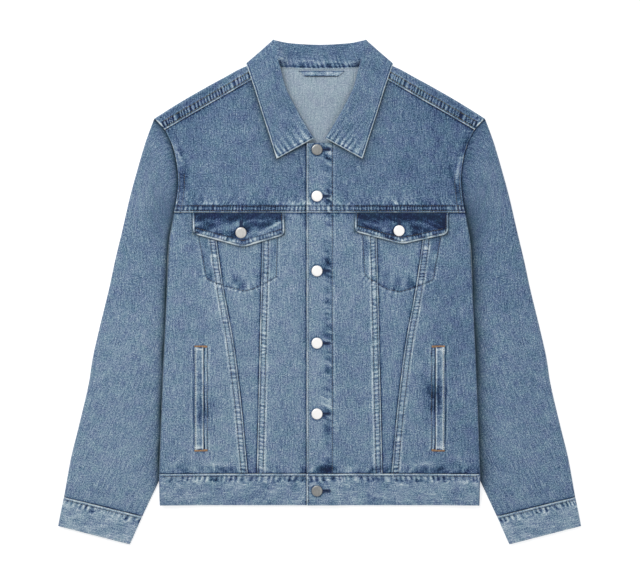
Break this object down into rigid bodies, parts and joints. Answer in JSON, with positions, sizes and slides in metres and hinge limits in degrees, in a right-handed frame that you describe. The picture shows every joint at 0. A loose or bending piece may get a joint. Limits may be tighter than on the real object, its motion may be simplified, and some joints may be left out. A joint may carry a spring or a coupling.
{
  "type": "denim jacket",
  "caption": "Buttoned denim jacket laid flat on its back, with a pointed collar, flap and welt pockets, a waistband and cuffed sleeves.",
  "frame": {"origin": "middle of the jacket's outline, on the surface that it lies on", "axes": "+X across the jacket towards the wearer's left, +Y up it towards the collar, +Z up from the surface"},
  "size_m": [0.7838, 0.7546, 0.0149],
  "materials": {
    "denim": "stone-washed mid-blue denim, faded along edges and seams",
    "dark_denim": "less washed denim of the pocket flaps",
    "denim_reverse": "pale inner side of the denim",
    "thread": "grey-beige and orange-brown topstitching",
    "button": "satin silver metal"
  },
  "bodies": {
    "root": {"back_panel": "denim", "back_yoke": "denim", "front_yoke_left": "denim", "front_yoke_right": "denim", "front_centre_left": "denim", "front_centre_right": "denim", "front_insert_left": "denim", "front_insert_right": "denim", "front_side_left": "denim", "front_side_right": "denim", "sleeve_left": "denim", "sleeve_right": "denim", "cuff_left": "denim", "cuff_right": "denim", "waistband": "denim", "collar_fall": "denim", "collar_stand": "denim", "chest_pocket_left": "denim", "chest_pocket_right": "denim", "pocket_flap_left": "dark_denim", "pocket_flap_right": "dark_denim", "hand_pocket_welt_left": "denim", "hand_pocket_welt_right": "denim", "hanger_loop": "denim_reverse", "front_button_1": "button", "front_button_2": "button", "front_button_3": "button", "front_button_4": "button", "front_button_5": "button", "front_button_6": "button", "pocket_button_left": "button", "pocket_button_right": "button"}
  },
  "joints": []
}
